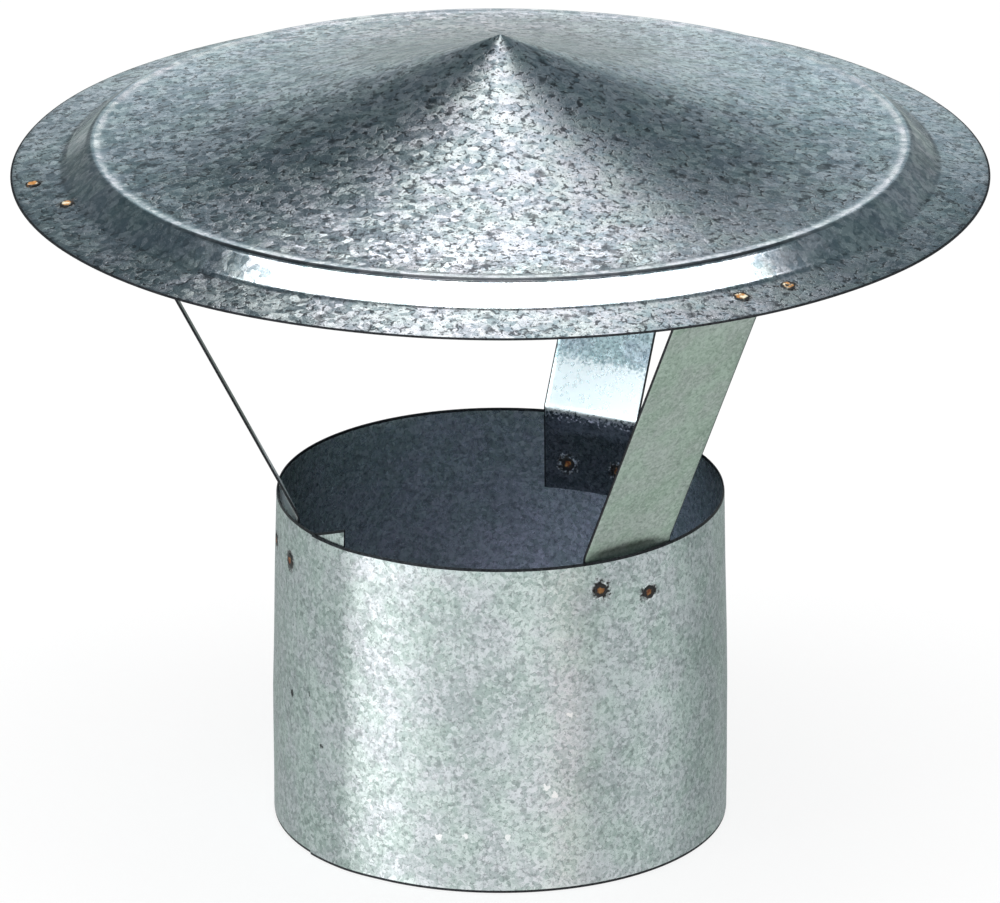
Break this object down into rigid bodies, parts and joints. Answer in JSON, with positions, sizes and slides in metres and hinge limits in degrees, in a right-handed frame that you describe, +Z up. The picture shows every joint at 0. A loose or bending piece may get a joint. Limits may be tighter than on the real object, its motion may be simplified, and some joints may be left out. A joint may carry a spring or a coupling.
{
  "type": "chimney rain cap",
  "caption": "Galvanised sheet-steel chimney rain cap: a shallow conical hood with a flanged brim, held over a rolled collar by flat leaning straps spot-welded at both ends.",
  "frame": {"origin": "on the axis of the hood and collar, at the collar's bottom edge", "axes": "+Z up along the axis from the collar to the hood's tip; -Y towards the side that the picture shows, +X to its right"},
  "size_m": [0.3214, 0.3214, 0.2726],
  "materials": {
    "galvanised_sheet": "zinc spangle",
    "galvanised_strip": "dull zinc",
    "spot_weld": "burnt zinc with rust"
  },
  "bodies": {
    "root": {"hood": "galvanised_sheet", "collar": "galvanised_sheet", "strap_left": "galvanised_strip", "strap_right": "galvanised_strip", "strap_back": "galvanised_strip", "collar_welds_left": "spot_weld", "collar_welds_right": "spot_weld", "collar_welds_back": "spot_weld", "hood_welds_left": "spot_weld", "hood_welds_right": "spot_weld", "hood_welds_back": "spot_weld"}
  },
  "joints": []
}
